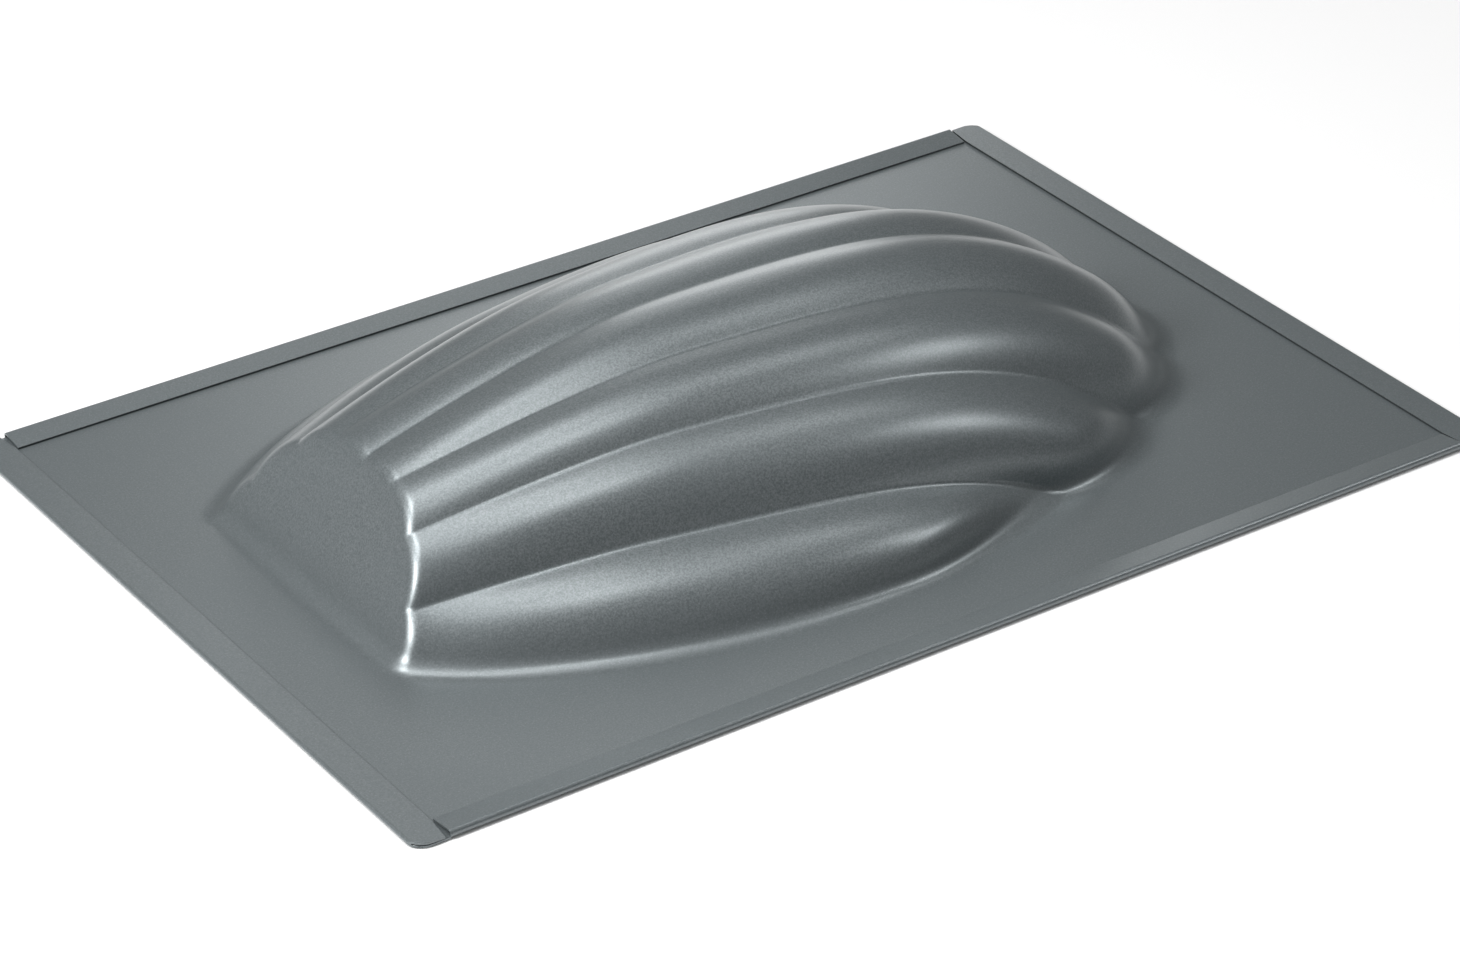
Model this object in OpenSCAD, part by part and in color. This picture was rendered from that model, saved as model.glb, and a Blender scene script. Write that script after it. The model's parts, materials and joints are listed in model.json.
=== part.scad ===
// A giant single madeleine mould, pressed from one coated steel sheet, lying with its dome up.
// Z = 0 is the underside of the flange, which is the face that the pan rests on here.
// X runs from the narrow end of the cake form to its scalloped end, and Y = 0 is the middle.

/* [Pan] */
// Length of the pan over its folded edges
pan_l = 350; // [315:1:400]
// Breadth of the pan over its folded edges
pan_w = 241; // [225:1:280]
// Thickness of the steel sheet
sheet_t = 0.6; // [0.4:0.1:1.2]
// Radius of the pan's four corners
corner_r = 5; // [2:0.5:14]

/* [Folded edges] */
// Width of the long folds, from the pan's edge to the free edge of the fold
long_hem_w = 8.7; // [6:0.1:12]
// Width of the end folds
end_hem_w = 9.8; // [6:0.1:12]
// Open height inside the folds of the long sides, at the bend
long_fold_gap = 1.2; // [0.4:0.1:2]
// Open height inside the folds of the two ends, at the bend
end_fold_gap = 0.4; // [0.2:0.1:1]
// Open height under the free edge of every fold
free_edge_gap = 0.1; // [0.05:0.05:0.4]
// Clearance between the end of a long fold and the free edge of an end fold
hem_clear = 0.6; // [0.3:0.1:2]
// How far the corners stand back from the outer edge of the long folds
corner_setback = 0.2; // [0:0.1:2]
// How far the free edge of an end fold is cut back at its two ends
end_relief = 1; // [0.3:0.1:3]

/* [Cake form in plan] */
// Length of the form at its foot
form_l = 280; // [250:1:314]
// Greatest breadth of the form at its foot
form_w = 181; // [150:1:204]
// How far the middle of the form's length lies beyond the pan's middle, towards the wide end
form_offset = 3.5; // [-10:0.5:10]
// Length that the flat end face cuts off the ellipse of the form's plan
plan_cut = 23; // [10:1:50]
// Angle of the ellipse that each lobe takes up at the scalloped end
lobe_angle = 20.9; // [18:0.1:22]
// How far the clefts between the lobes stand inside the ellipse
cleft_depth = 5.5; // [2:0.5:9]
// How far the outer grooves bow outwards at the middle of their length
groove_bow = 5.3; // [0:0.1:8]

/* [Cake form in height] */
// Height of the middle groove at the top of the end face
face_h = 35; // [25:0.5:45]
// Height of the middle groove at the crest of the dome
crest_h = 53.6; // [45:0.1:70]
// Share of each groove's length at which its crest lies
crest_share = 0.35; // [0.25:0.01:0.6]
// Lean of the end face from upright
face_lean = 30.4; // [10:0.1:40]
// Bulge of a lobe above its two grooves, as a share of its breadth
lobe_bulge = 0.126; // [0.08:0.002:0.2]
// The same bulge where the lobe is about to turn down to its tip
shoulder_bulge = 0.2; // [0.12:0.01:0.28]
// Bulge of a lobe's tip at the foot, as a share of its breadth
tip_bulge = 0.14; // [0.08:0.01:0.2]
// Radius between the flange and the form
draw_r = 4; // [2:0.5:6]
// Distance over which the edge of the end face is rounded
face_edge_r = 3; // [1.5:0.5:5]

/* [Hidden] */
$fn = 64;
steel = "#767d80";

// The eight lobes are counted from the front, and the grooves between them from 0 to 8.
// The front half is worked out and the back half mirrors it, so groove 4 is the middle one.
half_lobes = 4;

// Shares of face_h and of the face's half breadth at grooves 0 to 4 on the end face
face_rise = [0, 0.375, 0.775, 0.99, 1];
face_spread = [1, 0.872, 0.615, 0.308, 0];
// Shares of crest_h at grooves 0 to 4
crest_rise = [0, 0.372, 0.73, 0.917, 1];
// Shares of groove_bow at grooves 0 to 4
bow_share = [0, 1, 0.585, 0.356, 0];
// Shares of shoulder_bulge and of tip_bulge in lobes 1 to 4
shoulder_share = [0.62, 1, 1, 1];
tip_share = [0.2, 1, 1, 1];
// Powers of the curve up to a groove's crest and of the steeper curve down from it
rise_power = 1.44;
fall_power = 3.5;
// Share of a lobe's length at which its tip starts to turn over, in lobes 1 to 4
tip_start = [0.84, 0.93, 0.93, 0.93];
// Power of the curve by which a lobe's bulge grows over the second half of its length
shoulder_power = 2;
// Share of a lobe's length over which its section turns from the end face's plane
face_turn_share = 0.2;
// Share of a lobe's height on the end face at which the face's middle is taken, for its edge
face_middle_share = 0.4;
// Step in share of a groove's length, over which its direction is measured
small_step = 0.001;

pan_x = pan_l / 2;
pan_y = pan_w / 2;
foot_z = sheet_t;
face_x = form_offset - form_l / 2;
ellipse_a = (form_l + plan_cut) / 2;
ellipse_b = form_w / 2;
ellipse_x = face_x + form_l - ellipse_a;
face_half_w = ellipse_b * sqrt(1 - pow((face_x - ellipse_x) / ellipse_a, 2));
face_slope = tan(face_lean);
side_end_x = ellipse_x + ellipse_a * cos(half_lobes * lobe_angle);

function unit(v) = v / norm(v);
function smooth(t) = let (c = max(0, min(1, t))) c * c * (3 - 2 * c);
function mix(a, b, t) = a + (b - a) * t;

// Point of groove g on the front half at share t of its length, as [x, distance from middle, z]
function groove(g, t) = g == 0 ? side_line(t) : groove_line(g, t);
function side_line(t) =
    let (x = mix(face_x, side_end_x, t))
    [x, ellipse_b * sqrt(1 - pow((x - ellipse_x) / ellipse_a, 2)), foot_z];
function groove_line(g, t) =
    let (
        a = (half_lobes - g) * lobe_angle,
        top = face_h * face_rise[g],
        crest = crest_h * crest_rise[g],
        start = [face_x + face_slope * (top - foot_z), face_half_w * face_spread[g]],
        cleft = [ellipse_x + (ellipse_a - cleft_depth) * cos(a), (ellipse_b - cleft_depth) * sin(a)],
        up = crest - (crest - top) * pow(max(0, crest_share - t) / crest_share, rise_power),
        fall = pow(max(0, t - crest_share) / (1 - crest_share), fall_power),
        p = mix(start, cleft, t) + [0, groove_bow * bow_share[g] * 4 * t * (1 - t)]
    )
    [p.x, p.y, t < crest_share ? up : foot_z + (crest - foot_z) * (1 - fall)];
// Direction in which groove g runs at share t
function groove_run(g, t) = unit(groove(g, min(1, t + small_step)) - groove(g, max(0, t - small_step)));

// Point of lobe k of the front half at share u of its breadth and share t of its length
function outward(v) = v.y + v.z < 0 ? -v : v;
function lobe_point(k, u, t) =
    let (
        low = groove(k - 1, t),
        chord = groove(k, t) - low,
        run = mix(groove_run(k - 1, t), groove_run(k, t), u),
        in_face = outward(unit(cross([1, 0, -face_slope], chord))),
        square_on = outward(unit(cross(run, chord))),
        level = outward(unit([-chord.y, chord.x, 0])),
        w_face = 1 - smooth(t / face_turn_share),
        w_tip = smooth((t - tip_start[k - 1]) / (1 - tip_start[k - 1])),
        way = unit(in_face * w_face + square_on * (1 - w_face - w_tip) + level * w_tip),
        grown = pow(max(0, 2 * t - 1), shoulder_power),
        above = mix(lobe_bulge, shoulder_bulge * shoulder_share[k - 1], grown),
        bulge = mix(above, tip_bulge * tip_share[k - 1], w_tip)
    )
    low + chord * u + way * (bulge * norm(chord) * 4 * u * (1 - u));

// Columns of the mesh run across the lobes. The outer lobe has finer columns near its foot.
outer_cols = [0, 0.025, 0.06, 0.11, 0.18, 0.28, 0.4, 0.54, 0.69, 0.85];
inner_cols = 8;
half_cols = concat(
    [for (u = outer_cols) [1, u]],
    [for (k = [2 : half_lobes], i = [0 : inner_cols - 1]) [k, i / inner_cols]],
    [[half_lobes, 1]]
);
mid_col = len(half_cols) - 1;
last_col = 2 * mid_col;
function column(c) = half_cols[c <= mid_col ? c : last_col - c];

// Rows of the mesh: up the end face, round its edge, then along the lobes to their tips
face_rows = 7;
edge_rows = 4;
lobe_rows = 29;
edge_row = face_rows + edge_rows;
last_row = edge_row + lobe_rows;
row_power = 1.9;

// Horizontal way out of the form's side at a point, square to the ellipse
function side_way(p) = unit([(p.x - ellipse_x) / pow(ellipse_a, 2), p.y / pow(ellipse_b, 2), 0]);
// The draw radius: a point below it moves outwards along a quarter circle
function flare(p, way) =
    let (up = max(0, draw_r - (p.z - foot_z)))
    p + way * (draw_r - sqrt(max(0, pow(draw_r, 2) - pow(up, 2))));

// The rounded edge of the end face lies between a point on the face and one on the lobe
function edge_share(k) = face_edge_r / norm(groove(k, 1) - groove(k, 0));
function face_inner(corner) =
    let (up = face_middle_share * (corner.z - foot_z), middle = [face_x + face_slope * up, 0, foot_z + up])
    corner + unit(middle - corner) * face_edge_r;
function edge_point(c, v) =
    let (k = column(c)[0], u = column(c)[1], corner = lobe_point(k, u, 0),
         on_face = face_inner(corner), on_lobe = lobe_point(k, u, edge_share(k)))
    on_face * pow(1 - v, 2) + corner * 2 * v * (1 - v) + on_lobe * pow(v, 2);
function face_point(c, v) =
    let (top = edge_point(c, 0),
         side = face_half_w - face_edge_r,
         foot = [face_x, side * (1 - c / mid_col), foot_z])
    mix(foot, [top.x, top.y, top.z], pow(v, 2));
function row_point(c, r) =
    r <= face_rows ? flare(face_point(c, r / face_rows), [-1, 0, 0]) :
    r <= edge_row ?
        let (v = (r - face_rows) / edge_rows, p = edge_point(c, v))
        flare(p, unit(mix([-1, 0, 0], side_way(p), v))) :
        let (k = column(c)[0], along = 1 - pow(1 - (r - edge_row) / lobe_rows, row_power),
             p = lobe_point(k, column(c)[1], mix(edge_share(k), 1, along)))
        flare(p, side_way(p));
front_half = [for (c = [0 : mid_col]) [for (r = [0 : last_row]) row_point(c, r)]];
// Outer surface, the front half at negative Y
function outer(c, r) =
    let (front = c <= mid_col, p = front_half[front ? c : last_col - c][r])
    [p.x, front ? -p.y : p.y, p.z];
outer_grid = [for (c = [0 : last_col]) [for (r = [0 : last_row]) outer(c, r)]];
// The outer columns meet the face's foot in one point, so their lower rows are left out
function first_row(c) = (c == 0 || c == last_col) ? face_rows : 0;
function on_foot(c, r) = c == 0 || c == last_col || r == 0 || r == last_row;
// Inner surface: the steel's thickness below the outer one, mitred in the grooves so that the
// steel keeps its thickness there, and level with the flange's underside at the foot
function inner(c, r) =
    let (
        p = outer_grid[c][r],
        along = outer_grid[c][r + 1] - outer_grid[c][r - 1],
        before = unit(cross(along, p - outer_grid[c - 1][r])),
        after = unit(cross(along, outer_grid[c + 1][r] - p)),
        way = unit(before + after)
    )
    p - way * (sheet_t / (way * before));
function inner_or_foot(c, r) = on_foot(c, r) ? outer_grid[c][r] - [0, 0, sheet_t] : inner(c, r);

full_col = last_row + 1;
edge_col = last_row - face_rows + 1;
layer_points = 2 * edge_col + (last_col - 1) * full_col;
function index(c, r) =
    c == 0 ? max(r, face_rows) - face_rows :
    edge_col + (c - 1) * full_col + (c == last_col ? max(r, face_rows) - face_rows : r);
outer_points = [for (c = [0 : last_col], r = [first_row(c) : last_row]) outer_grid[c][r]];
inner_points = [for (c = [0 : last_col], r = [first_row(c) : last_row]) inner_or_foot(c, r)];
function triangles(a, b, c, d) =
    concat(a == b ? [] : [[a, c, b]], c == d ? [] : [[a, d, c]]);
outer_faces = [
    for (c = [0 : last_col - 1], r = [0 : last_row - 1])
        for (f = triangles(index(c, r), index(c, r + 1), index(c + 1, r + 1), index(c + 1, r))) f
];
inner_faces = [for (f = outer_faces) [f[0] + layer_points, f[2] + layer_points, f[1] + layer_points]];
// The foot ring, where the shell's rim meets the flange
foot_ring = concat(
    [for (r = [face_rows : last_row]) index(0, r)],
    [for (c = [1 : last_col]) index(c, last_row)],
    [for (r = [last_row - 1 : -1 : face_rows]) index(last_col, r)],
    [for (c = [last_col - 1 : -1 : 1]) index(c, 0)]
);
foot_plan = [for (i = foot_ring) [outer_points[i].x, outer_points[i].y]];
ring_len = len(foot_ring);
rim_faces = [
    for (i = [0 : ring_len - 1])
        let (a = foot_ring[i], b = foot_ring[(i + 1) % ring_len])
        for (f = [[a, b + layer_points, a + layer_points], [a, b, b + layer_points]]) f
];

module mould_shell() {
    color(steel)
        polyhedron(concat(outer_points, inner_points), concat(outer_faces, inner_faces, rim_faces));
}

// Radius of a fold's outer bend, for the height that stays open inside it
function bend_r(gap) = sheet_t + gap / 2;
long_bend_r = bend_r(long_fold_gap);
end_bend_r = bend_r(end_fold_gap);
// Plan size of the pan where only the end folds reach, and where the long folds stop
corner_w = pan_w - 2 * corner_setback;
long_hem_l = pan_l - 2 * end_hem_w - 2 * hem_clear;

// Flat plate with round corners
module corner_plate(t) {
    linear_extrude(t) {
        square([pan_l - 2 * corner_r, corner_w], center = true);
        square([pan_l, corner_w - 2 * corner_r], center = true);
        for (x = [-1, 1], y = [-1, 1])
            translate([x * (pan_x - corner_r), y * (corner_w / 2 - corner_r)]) circle(corner_r);
    }
}

// The flat sheet inside the bends of the folds, with the opening that the shell stands in
module flange() {
    color(steel)
        difference() {
            intersection() {
                corner_plate(sheet_t);
                linear_extrude(sheet_t) {
                    square([long_hem_l, pan_w - 2 * long_bend_r], center = true);
                    for (x = [-1, 1])
                        translate([x * (pan_x - end_bend_r + long_hem_l / 2) / 2, 0])
                            square([pan_x - end_bend_r - long_hem_l / 2, pan_w], center = true);
                }
            }
            translate([0, 0, -sheet_t]) linear_extrude(3 * sheet_t) polygon(foot_plan);
        }
}

// Section of a fold: the bend, and the returned sheet that slopes down to its free edge.
// The pan's edge is at x = 0 and the fold lies towards positive x.
module fold_section(gap, w) {
    r = bend_r(gap);
    difference() {
        translate([r, r]) circle(r);
        translate([r, r]) circle(gap / 2);
        translate([r, -r]) square([2 * r, 4 * r]);
    }
    polygon([
        [r, sheet_t + gap], [w, sheet_t + free_edge_gap],
        [w, 2 * sheet_t + free_edge_gap], [r, 2 * r]
    ]);
}

// Fold along an end of the pan, cut to the round corners. Its free edge is cut back towards the
// corners, over the width of the long folds that it meets there.
module end_hem() {
    free_x = end_hem_w - pan_x;
    color(steel)
        difference() {
            intersection() {
                translate([-pan_x, corner_w / 2, 0]) rotate([90, 0, 0])
                    linear_extrude(corner_w) fold_section(end_fold_gap, end_hem_w);
                corner_plate(2 * end_bend_r + sheet_t);
            }
            for (side = [-1, 1])
                linear_extrude(2 * end_bend_r + sheet_t)
                    polygon([
                        [free_x, side * (pan_y - long_hem_w)], [free_x - end_relief, side * pan_y],
                        [free_x + end_relief, side * pan_y]
                    ]);
        }
}

// Fold along the front long side, with its ends left open
module long_hem() {
    color(steel)
        translate([-long_hem_l / 2, -pan_y, 0]) rotate([90, 0, 90])
            linear_extrude(long_hem_l) fold_section(long_fold_gap, long_hem_w);
}

module narrow_end_hem() { end_hem(); }
module wide_end_hem() { mirror([1, 0, 0]) end_hem(); }
module front_long_hem() { long_hem(); }
module back_long_hem() { mirror([0, 1, 0]) long_hem(); }

mould_shell();
flange();
narrow_end_hem();
wide_end_hem();
front_long_hem();
back_long_hem();
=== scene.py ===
"""A giant madeleine mould of grey coated steel, lying dome up on a pale studio floor."""

import json
import math

import bpy
from mathutils import Matrix, Vector

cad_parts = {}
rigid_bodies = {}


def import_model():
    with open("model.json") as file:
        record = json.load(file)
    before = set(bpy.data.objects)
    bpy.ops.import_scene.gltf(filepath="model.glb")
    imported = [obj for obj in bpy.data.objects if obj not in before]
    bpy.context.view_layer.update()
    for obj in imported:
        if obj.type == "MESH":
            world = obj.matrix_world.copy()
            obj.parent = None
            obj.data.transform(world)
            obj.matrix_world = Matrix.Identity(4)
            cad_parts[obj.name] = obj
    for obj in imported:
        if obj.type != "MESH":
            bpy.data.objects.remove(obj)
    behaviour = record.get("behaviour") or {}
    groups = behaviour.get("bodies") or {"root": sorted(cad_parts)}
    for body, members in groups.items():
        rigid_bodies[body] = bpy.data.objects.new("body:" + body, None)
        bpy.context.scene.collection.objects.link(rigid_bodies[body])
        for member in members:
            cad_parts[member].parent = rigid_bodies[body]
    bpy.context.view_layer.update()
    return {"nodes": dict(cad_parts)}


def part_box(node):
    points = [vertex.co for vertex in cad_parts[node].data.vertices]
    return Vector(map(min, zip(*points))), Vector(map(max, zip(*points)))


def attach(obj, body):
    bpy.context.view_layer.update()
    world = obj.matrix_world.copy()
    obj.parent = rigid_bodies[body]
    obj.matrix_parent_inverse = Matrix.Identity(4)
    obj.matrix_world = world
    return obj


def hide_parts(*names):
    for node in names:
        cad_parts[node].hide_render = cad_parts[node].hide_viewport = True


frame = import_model()

MM = 0.001
FLANGE_LOW, FLANGE_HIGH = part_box("flange")
SHEET_T = FLANGE_HIGH.z - FLANGE_LOW.z
MERGE_WITHIN = 0.001 * MM


# Picking and editing

def pick_only(piece):
    """Makes piece the active object and the only one selected."""
    bpy.ops.object.select_all(action="DESELECT")
    bpy.context.view_layer.objects.active = piece
    piece.select_set(True)


def open_edit(piece, element="VERT"):
    """Opens piece for editing with nothing of it selected."""
    pick_only(piece)
    bpy.ops.object.mode_set(mode="EDIT")
    bpy.ops.mesh.select_mode(type=element)
    bpy.ops.mesh.select_all(action="DESELECT")


def close_edit():
    """Goes back from editing a piece's mesh to its object."""
    bpy.ops.object.mode_set(mode="OBJECT")


def choose(piece, kind, wanted):
    """Opens piece with just those of its vertices, edges or polygons selected that are wanted."""
    open_edit(piece, {"vertices": "VERT", "edges": "EDGE", "polygons": "FACE"}[kind])
    close_edit()
    for item in getattr(piece.data, kind):
        item.select = wanted(item)
    bpy.ops.object.mode_set(mode="EDIT")


def choose_rim():
    """Selects the open rim of the piece that is being edited."""
    bpy.ops.mesh.select_non_manifold(
        extend=False, use_wire=False, use_boundary=True, use_multi_face=False,
        use_non_contiguous=False, use_verts=False)


def turn_outwards():
    """Points every face of the piece that is being edited outwards."""
    bpy.ops.mesh.select_all(action="SELECT")
    bpy.ops.mesh.normals_make_consistent(inside=False)


def copy_of(node, name):
    """A copy of a CAD node's mesh as a new piece, with its loose triangles merged."""
    piece = bpy.data.objects.new(name, frame["nodes"][node].data.copy())
    piece.data.name = name
    piece.data.materials.clear()
    bpy.context.scene.collection.objects.link(piece)
    open_edit(piece)
    bpy.ops.mesh.select_all(action="SELECT")
    bpy.ops.mesh.remove_doubles(threshold=MERGE_WITHIN)
    close_edit()
    return piece


def finish_with(piece, kind, **settings):
    """Adds a modifier to piece and applies it."""
    pick_only(piece)
    made = piece.modifiers.new(kind.title(), kind)
    for name, value in settings.items():
        setattr(made, name, value)
    bpy.ops.object.modifier_apply(modifier=made.name)


def smooth_up_to(piece, angle):
    """Shades piece round, apart from edges that bend by more than that angle."""
    pick_only(piece)
    bpy.ops.object.shade_smooth_by_angle(angle=angle)


def stand_for(piece, *nodes):
    """Piece shows in place of these CAD nodes and is finished in the pan's coated steel."""
    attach(piece, "root")
    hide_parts(*nodes)
    piece.data.materials.append(coated_steel)


# Shader maths

class Wire:
    """An output of a shader node, on which sums are written as on numbers."""

    def __init__(self, finish, socket):
        self.finish, self.socket = finish, socket

    def maths(self, operation, *values):
        return self.finish.node("ShaderNodeMath", {"operation": operation}, dict(enumerate(values)))

    def __add__(self, other):
        return self.maths("ADD", self, other)

    def __mul__(self, other):
        return self.maths("MULTIPLY", self, other)

    def __sub__(self, other):
        return self.maths("SUBTRACT", self, other)

    def __rsub__(self, other):
        return self.maths("SUBTRACT", other, self)

    __radd__ = __add__
    __rmul__ = __mul__

    def span(self, low, high):
        """0 at or below low, 1 at or above high, and smooth between them."""
        return self.finish.node("ShaderNodeMapRange", {"interpolation_type": "SMOOTHSTEP"}, {
            "Value": self, "From Min": low, "From Max": high})


class Finish:
    """The nodes that give a material or the world its look."""

    def __init__(self, owner):
        owner.use_nodes = True
        self.tree = owner.node_tree
        self.tree.nodes.clear()

    def node(self, kind, settings=None, sockets=None, output=0):
        """A new node of that kind: its settings first, then the values or links of its sockets."""
        made = self.tree.nodes.new(kind)
        for name, value in (settings or {}).items():
            setattr(made, name, value)
        for name, value in (sockets or {}).items():
            if isinstance(value, Wire):
                self.tree.links.new(value.socket, made.inputs[name])
            else:
                made.inputs[name].default_value = value
        return Wire(self, made.outputs[output]) if len(made.outputs) else None

    def noise(self, place, size, detail=2.0, roughness=0.5):
        """Cloudy noise from 0 to 1, with features of about that size in metres."""
        return self.node("ShaderNodeTexNoise", None, {
            "Vector": place, "Scale": 1 / size, "Detail": detail, "Roughness": roughness})

    def mix(self, share, first, second):
        """First colour where share is 0, and second where it is 1."""
        # A Mix node's sockets for numbers and for colours share their names, so these go by number
        return self.node(
            "ShaderNodeMix", {"data_type": "RGBA"}, {0: share, 6: first, 7: second}, output=2)


def rgb(red, green, blue):
    """A colour as a socket takes it."""
    return (red, green, blue, 1.0)


BLACK = rgb(0, 0, 0)
WHITE = rgb(1, 1, 1)


# The coated steel

COAT_ROUGHNESS = 0.36
COAT_METAL = 0.5
# The folds' cut edges keep this share of the coat's tone, darkened as painted shade
CUT_EDGE_SHADE_MULTIPLIER = 0.3
GRAIN_SIZE = 0.55 * MM
ORANGE_PEEL_SIZE = 2.2 * MM
DRIFT_SIZE = 60 * MM
DRIFT_SHARE = 0.35
FLECK_SPACING = 0.7 * MM
FLECK_REACH = (0.12, 0.3)
FLECK_SHARE = 0.22
NOISE_MIDDLE = (0.3, 0.7)
PRESSED_HEIGHT = (2 * MM, 14 * MM)
BUMP_DEPTH = 0.015 * MM

FLAT_DARK = rgb(0.155, 0.178, 0.185)
FLAT_PALE = rgb(0.205, 0.23, 0.238)
PRESSED_DARK = rgb(0.131, 0.154, 0.161)
PRESSED_PALE = rgb(0.229, 0.254, 0.262)
DRIFT_TONE = rgb(0.165, 0.19, 0.2)
FLECK_TONE = rgb(0.42, 0.45, 0.46)


def make_coated_steel(name, shade_multiplier):
    """Grey satin baking coat: a fine sprayed grain with small pale flecks and a slow drift of
    tone over the sheet. The last argument, at 1, leaves the coat's own tone, and below 1 it darkens
    the tone as painted shade."""
    material = bpy.data.materials.new(name)
    steel = Finish(material)
    place = steel.node("ShaderNodeTexCoord", output="Object")
    grain = steel.noise(place, GRAIN_SIZE, 2, 0.6)
    orange_peel = steel.noise(place, ORANGE_PEEL_SIZE, 1)
    drift = steel.noise(place, DRIFT_SIZE, 2)
    flecks = steel.node("ShaderNodeTexVoronoi", {"feature": "F1"}, {
        "Vector": place, "Scale": 1 / FLECK_SPACING})
    fleck = 1 - flecks.span(*FLECK_REACH)

    # Higher above the floor, over the form, the grain's dark and pale tones lie further apart
    height_over_floor = steel.node("ShaderNodeSeparateXYZ", None, {"Vector": place}, output=2)
    pressed = height_over_floor.span(*PRESSED_HEIGHT)
    dark = steel.mix(pressed, FLAT_DARK, PRESSED_DARK)
    pale = steel.mix(pressed, FLAT_PALE, PRESSED_PALE)
    tone = steel.mix(grain.span(*NOISE_MIDDLE), dark, pale)
    tone = steel.mix(drift.span(*NOISE_MIDDLE) * DRIFT_SHARE, tone, DRIFT_TONE)
    tone = steel.mix(fleck * FLECK_SHARE, tone, FLECK_TONE)
    # Painted shade: the tone is darkened toward black where the last argument is below 1
    tone = steel.mix(shade_multiplier, BLACK, tone)

    roughness = COAT_ROUGHNESS + (grain - 0.5) * 0.12 + (drift - 0.5) * 0.05 - fleck * 0.04
    relief = grain * 0.5 + orange_peel * 0.7 + fleck * 0.2
    bump = steel.node("ShaderNodeBump", None, {
        "Strength": 1.0, "Distance": BUMP_DEPTH, "Height": relief})
    shader = steel.node("ShaderNodeBsdfPrincipled", None, {
        "Base Color": tone, "Roughness": roughness, "Metallic": COAT_METAL, "Normal": bump,
        "Coat Weight": 0.5, "Coat Roughness": 0.3})
    steel.node("ShaderNodeOutputMaterial", None, {"Surface": shader})
    return material


coated_steel = make_coated_steel("coated_steel", 1.0)
# A darker copy of the coat, whose darkening is painted shade for the folds' cut edges
cut_edge_shaded_steel = make_coated_steel("cut_edge_shaded_steel", CUT_EDGE_SHADE_MULTIPLIER)


# The pressed cake form

FLAT_MARGIN = 2.5 * MM
GROOVE_CREASE = 0.8
SHARP_HOLLOW = math.radians(32)
SHARP_ABOVE = 8 * MM
SLIGHT_HOLLOW = math.radians(6)
FORM_SHARP = math.radians(60)
UPRIGHT = 0.01
RIM_TOP = 1.01 * SHEET_T
# A vertex of the triangulated grid has no more edges than this, and the middle of a fan has more
MOST_GRID_EDGES = 7


def corner_angles(mesh, face):
    """The three angles of a triangle, each with the edge that lies across from it."""
    for i in range(3):
        tip, left, right = (mesh.vertices[face.vertices[(i + j) % 3]].co for j in range(3))
        across = tuple(sorted((face.vertices[(i + 1) % 3], face.vertices[(i + 2) % 3])))
        yield (left - tip).angle(right - tip), across


def edge_runs(mesh, poles):
    """Sorts the edges of a triangulated grid into its three runs: two across the cells' sides
    and one along their diagonals. The triangles round the poles aren't part of the grid.
    Gives each edge's run, the run of the diagonals, and the faces at each edge."""
    faces_of = {}
    for face in mesh.polygons:
        if not poles.intersection(face.vertices):
            for key in face.edge_keys:
                faces_of.setdefault(key, []).append(face)
    grid = {face for faces in faces_of.values() for face in faces}
    squarest = min(grid, key=lambda face: abs(max(corner_angles(mesh, face))[0] - math.pi / 2))
    diagonal = max(corner_angles(mesh, squarest))[1]
    run = {key: i for i, key in enumerate(squarest.edge_keys)}
    waiting, done = [squarest], {squarest.index}
    while waiting:
        face = waiting.pop()
        for key in face.edge_keys:
            tip = next(v for v in face.vertices if v not in key)
            for other in faces_of[key]:
                if other.index in done:
                    continue
                far = next(v for v in other.vertices if v not in key)
                # Across a shared edge, opposite sides of the two triangles run the same way
                for near, shared in (key, key[::-1]):
                    run[tuple(sorted((near, far)))] = run[tuple(sorted((shared, tip)))]
                done.add(other.index)
                waiting.append(other)
    return run, run[diagonal], faces_of


def keep_outside(form):
    """Leaves only the outside: once the rim's faces are gone, it is the part with the crest."""
    mesh = form.data
    choose(form, "polygons", lambda face: abs(face.normal.z) < UPRIGHT and all(
        mesh.vertices[v].co.z < RIM_TOP for v in face.vertices))
    bpy.ops.mesh.delete(type="ONLY_FACE")
    bpy.ops.mesh.select_all(action="SELECT")
    bpy.ops.mesh.delete_loose(use_verts=False, use_edges=True, use_faces=False)
    close_edit()
    crest = max(mesh.vertices, key=lambda v: v.co.z).index
    choose(form, "vertices", lambda v: v.index == crest)
    bpy.ops.mesh.select_linked()
    bpy.ops.mesh.select_all(action="INVERT")
    bpy.ops.mesh.delete(type="VERT")
    close_edit()


def many_sided(mesh, most):
    """The vertices at which more than that number of edges meet."""
    counts = [0] * len(mesh.vertices)
    for edge in mesh.edges:
        for vertex in edge.vertices:
            counts[vertex] += 1
    return {i for i, count in enumerate(counts) if count > most}


def hollow_edges(run, diagonal, faces_of):
    """The angle at each edge of the grid's cells whose two faces make a hollow."""
    hollow = {}
    for key, faces in faces_of.items():
        if len(faces) == 2 and run[key] != diagonal:
            first, second = faces
            if (second.center - first.center).dot(first.normal) > 0:
                hollow[key] = first.normal.angle(second.normal)
    return hollow


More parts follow.
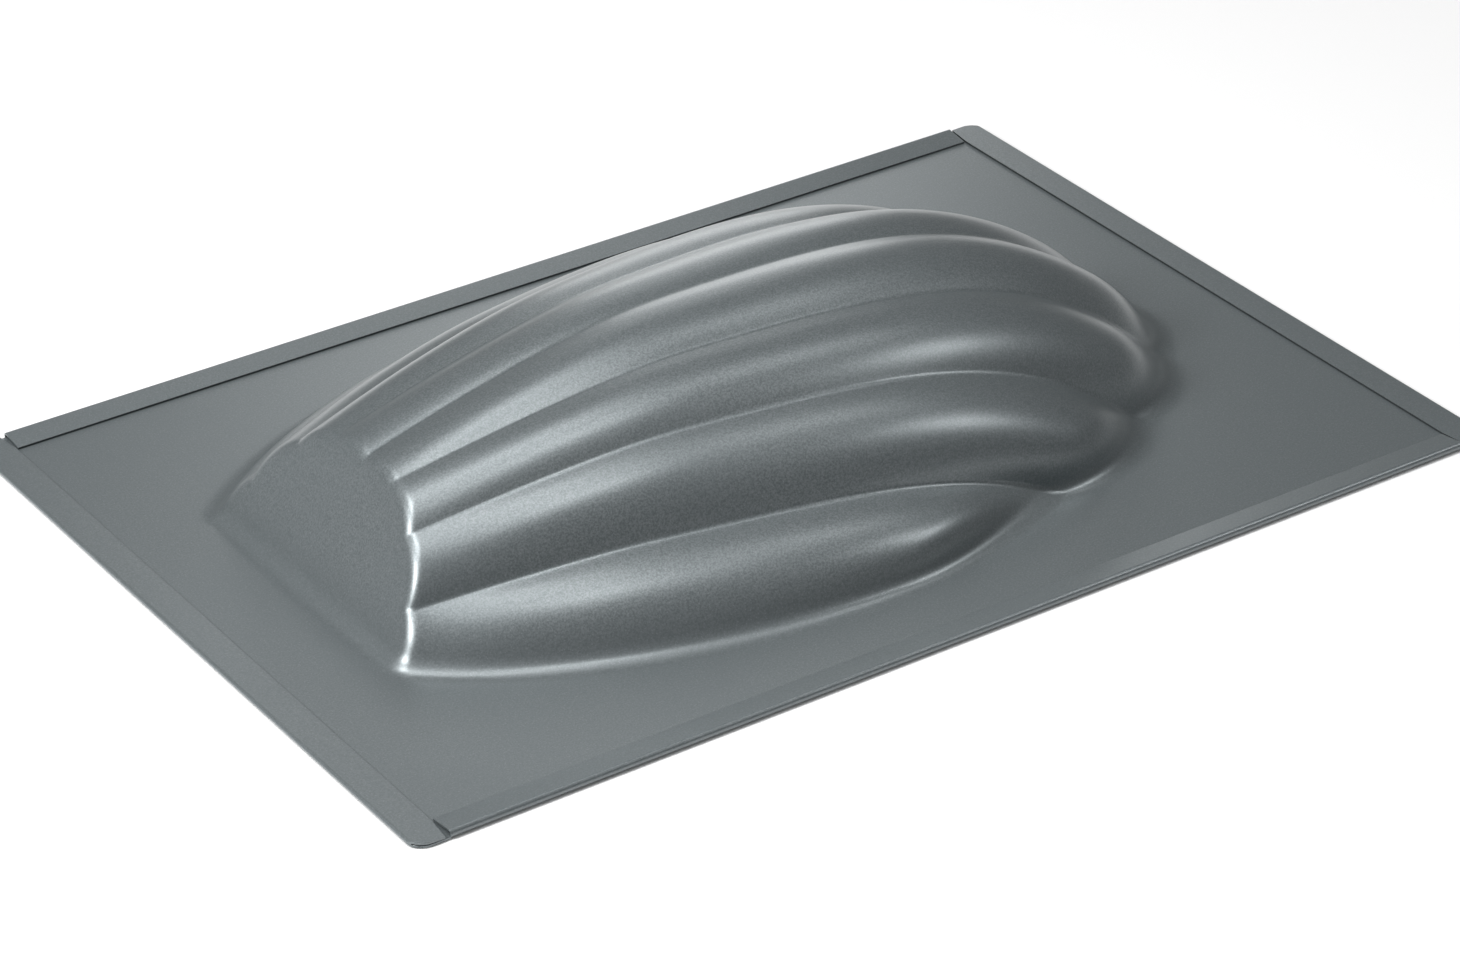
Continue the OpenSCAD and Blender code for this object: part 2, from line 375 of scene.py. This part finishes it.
def make_quads_and_grooves(form):
    """Joins the grid's triangles in pairs and creases the grooves between the lobes."""
    mesh = form.data
    run, diagonal, faces_of = edge_runs(mesh, many_sided(mesh, MOST_GRID_EDGES))
    hollow = hollow_edges(run, diagonal, faces_of)
    choose(form, "edges", lambda edge: run.get(edge.key) == diagonal)
    bpy.ops.mesh.dissolve_edges(use_verts=False)
    close_edit()

    # A groove is a line of the grid that is a sharp hollow somewhere well above the foot, and
    # it is creased as far as it is a hollow at all
    choose(form, "edges", lambda edge: hollow.get(edge.key, 0) > SHARP_HOLLOW and all(
        mesh.vertices[v].co.z > SHARP_ABOVE for v in edge.vertices))
    bpy.ops.mesh.loop_multi_select(ring=False)
    close_edit()
    lines = {edge.key for edge in mesh.edges if edge.select}
    choose(form, "edges", lambda edge: edge.key in lines and hollow.get(edge.key, 0) > SLIGHT_HOLLOW)
    bpy.ops.transform.edge_crease(value=GROOVE_CREASE)
    close_edit()


def add_flat_margin(form):
    """Draws the foot's rim out into a flat margin, which meets the flange away from the bend."""
    low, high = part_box("mould_shell")
    centre, half = (low + high) / 2, (high - low) / 2
    open_edit(form, "EDGE")
    choose_rim()
    bpy.ops.mesh.extrude_edges_move()
    bpy.ops.transform.resize(
        value=(1 + FLAT_MARGIN / half.x, 1 + FLAT_MARGIN / half.y, 1), center_override=centre)
    turn_outwards()
    close_edit()


def make_cake_form():
    """The outside of the pressed form as a smooth skin, without its thickness."""
    form = copy_of("mould_shell", "cake_form")
    keep_outside(form)
    make_quads_and_grooves(form)
    add_flat_margin(form)
    finish_with(form, "SUBSURF", levels=2, render_levels=2, boundary_smooth="ALL")
    return form


# The flange and the folded edges

CUTTER_T = 4 * SHEET_T
FLANGE_SHARP = math.radians(30)
FOLD_SHARP = math.radians(40)
EASED_EDGE = 0.1 * MM
FACES_INWARDS = 0.8


def make_flange(form):
    """The flat sheet round the form, cut to the edge of the form's flat margin by a slab that
    has the margin's outline and stands out of the sheet above and below."""
    open_edit(form, "EDGE")
    choose_rim()
    bpy.ops.mesh.duplicate()
    bpy.ops.mesh.separate(type="SELECTED")
    close_edit()
    cutter = next(o for o in bpy.context.selected_objects if o is not form)
    open_edit(cutter, "EDGE")
    bpy.ops.mesh.select_all(action="SELECT")
    bpy.ops.mesh.edge_face_add()
    bpy.ops.mesh.extrude_region_move(TRANSFORM_OT_translate={"value": (0, 0, -CUTTER_T)})
    bpy.ops.mesh.select_all(action="SELECT")
    bpy.ops.transform.translate(value=(0, 0, CUTTER_T / 2))
    turn_outwards()
    close_edit()
    flange = copy_of("flange", "flat_flange")
    finish_with(flange, "BOOLEAN", operation="DIFFERENCE", object=cutter, solver="EXACT")
    bpy.data.objects.remove(cutter)
    return flange


def make_fold(side, inwards):
    """The folded edge on that side, with its cut edges eased. Inwards is the way to the form."""
    node = side + "_hem"
    fold = copy_of(node, side + "_fold")
    finish_with(fold, "BEVEL", width=EASED_EDGE, segments=2, limit_method="ANGLE",
                angle_limit=FOLD_SHARP, harden_normals=False)
    smooth_up_to(fold, FOLD_SHARP)
    # The wide top stays flat up to the bend, which alone is shaded round
    finish_with(fold, "WEIGHTED_NORMAL", mode="FACE_AREA", keep_sharp=True)
    stand_for(fold, node)
    # The sheet's cut edge, where the fold ends on the flange, gets painted shade: a darker copy of
    # the coat that stands for the shade in the gap under the fold's free edge
    fold.data.materials.append(cut_edge_shaded_steel)
    choose(fold, "polygons", lambda face: (
        face.normal.dot(inwards) > FACES_INWARDS and face.center.z > SHEET_T))
    fold.active_material_index = 1
    bpy.ops.object.material_slot_assign()
    close_edit()


form = make_cake_form()
flange = make_flange(form)
finish_with(form, "SOLIDIFY", thickness=SHEET_T, offset=-1, use_even_offset=True)
smooth_up_to(form, FORM_SHARP)
smooth_up_to(flange, FLANGE_SHARP)
stand_for(form, "mould_shell")
stand_for(flange, "flange")
make_fold("narrow_end", Vector((1, 0, 0)))
make_fold("wide_end", Vector((-1, 0, 0)))
make_fold("front_long", Vector((0, 1, 0)))
make_fold("back_long", Vector((0, -1, 0)))


# The studio

CAMERA_PLACE = Vector((-0.65816, -0.98170, 0.68512))
CAMERA_RIGHT = Vector((0.82692, -0.56221, -0.01103))
CAMERA_UP = Vector((0.29404, 0.41559, 0.86071))
CAMERA_FORWARD = Vector((0.47932, 0.71498, -0.50897))
# Blender takes these two in millimetres
CAMERA_LENS = 120.44
SENSOR_WIDTH = 36

FLOOR_SIZE = 12
FLOOR_GAP = 0.2 * MM
FLOOR_TONE = rgb(0.88, 0.88, 0.88)
NEAR_GLOW = rgb(0.06, 0.06, 0.06)
GLOW_GROWS = (0.6, 2.4)
ROOM_STRENGTH = 0.09
LIGHT_DISTANCE = 1.35


def make_camera():
    """A long lens that looks down at the front and the narrow end, as in the photograph."""
    camera = bpy.data.objects.new("camera", bpy.data.cameras.new("camera"))
    bpy.context.scene.collection.objects.link(camera)
    turn = Matrix((CAMERA_RIGHT, CAMERA_UP, -CAMERA_FORWARD)).transposed()
    camera.matrix_world = Matrix.Translation(CAMERA_PLACE) @ turn.to_4x4()
    camera.data.lens = CAMERA_LENS
    camera.data.sensor_width = SENSOR_WIDTH
    bpy.context.scene.camera = camera


def make_floor():
    """A matt pale floor. Further from the pan, where the lights fall off, the camera sees a
    glow added to it, which grows to white."""
    bpy.ops.object.select_all(action="DESELECT")
    bpy.ops.mesh.primitive_plane_add(size=FLOOR_SIZE, location=(0, 0, -FLOOR_GAP))
    floor = bpy.context.object
    floor.name = "studio_floor"
    material = bpy.data.materials.new("studio_floor")
    pale = Finish(material)
    seen = pale.node("ShaderNodeLightPath", output="Is Camera Ray")
    matt = pale.node("ShaderNodeBsdfDiffuse", None, {"Color": FLOOR_TONE})
    place = pale.node("ShaderNodeTexCoord", output="Object")
    away = pale.node("ShaderNodeVectorMath", {"operation": "LENGTH"}, {0: place}, output=1)
    lift = pale.mix(away.span(*GLOW_GROWS), NEAR_GLOW, WHITE)
    glow = pale.node("ShaderNodeEmission", None, {"Color": lift, "Strength": 1.0})
    both = pale.node("ShaderNodeAddShader", None, {0: matt, 1: glow})
    shown = pale.node("ShaderNodeMixShader", None, {0: seen, 1: matt, 2: both})
    pale.node("ShaderNodeOutputMaterial", None, {"Surface": shown})
    floor.data.materials.append(material)


def make_world():
    """A dim even room, which the camera sees as white."""
    world = bpy.data.worlds.new("studio")
    bpy.context.scene.world = world
    studio = Finish(world)
    seen = studio.node("ShaderNodeLightPath", output="Is Camera Ray")
    room = studio.node("ShaderNodeBackground", None, {"Color": WHITE, "Strength": ROOM_STRENGTH})
    white = studio.node("ShaderNodeBackground", None, {"Color": WHITE})
    shown = studio.node("ShaderNodeMixShader", None, {0: seen, 1: room, 2: white})
    studio.node("ShaderNodeOutputWorld", None, {"Surface": shown})


def soft_box(name, azimuth, elevation, size, power):
    """A square soft light that faces the pan. Azimuth 0 is at the wide end, 90 at the back."""
    lamp = bpy.data.lights.new(name, "AREA")
    lamp.shape = "SQUARE"
    lamp.size = size
    lamp.energy = power
    box = bpy.data.objects.new(name, lamp)
    bpy.context.scene.collection.objects.link(box)
    azimuth, elevation = math.radians(azimuth), math.radians(elevation)
    level = math.cos(elevation)
    way = Vector((level * math.cos(azimuth), level * math.sin(azimuth), math.sin(elevation)))
    box.location = way * LIGHT_DISTANCE
    box.rotation_euler = way.to_track_quat("Z", "Y").to_euler()


make_camera()
make_floor()
make_world()
soft_box("key_light", 160, 64, 0.34, 7.6)
soft_box("side_light", 176, 38, 0.34, 12.0)
soft_box("top_light", 270, 80, 0.32, 2.6)
soft_box("top_back_light", 90, 80, 0.32, 2.2)
soft_box("rim_light", 59, 12, 0.4, 1.25)
soft_box("high_rim_light", 60, 34, 0.36, 0.45)
soft_box("right_light", 324, 42, 0.28, 2.2)
soft_box("high_right_light", 0, 64, 0.32, 0.85)

bpy.context.scene.view_settings.view_transform = "Standard"
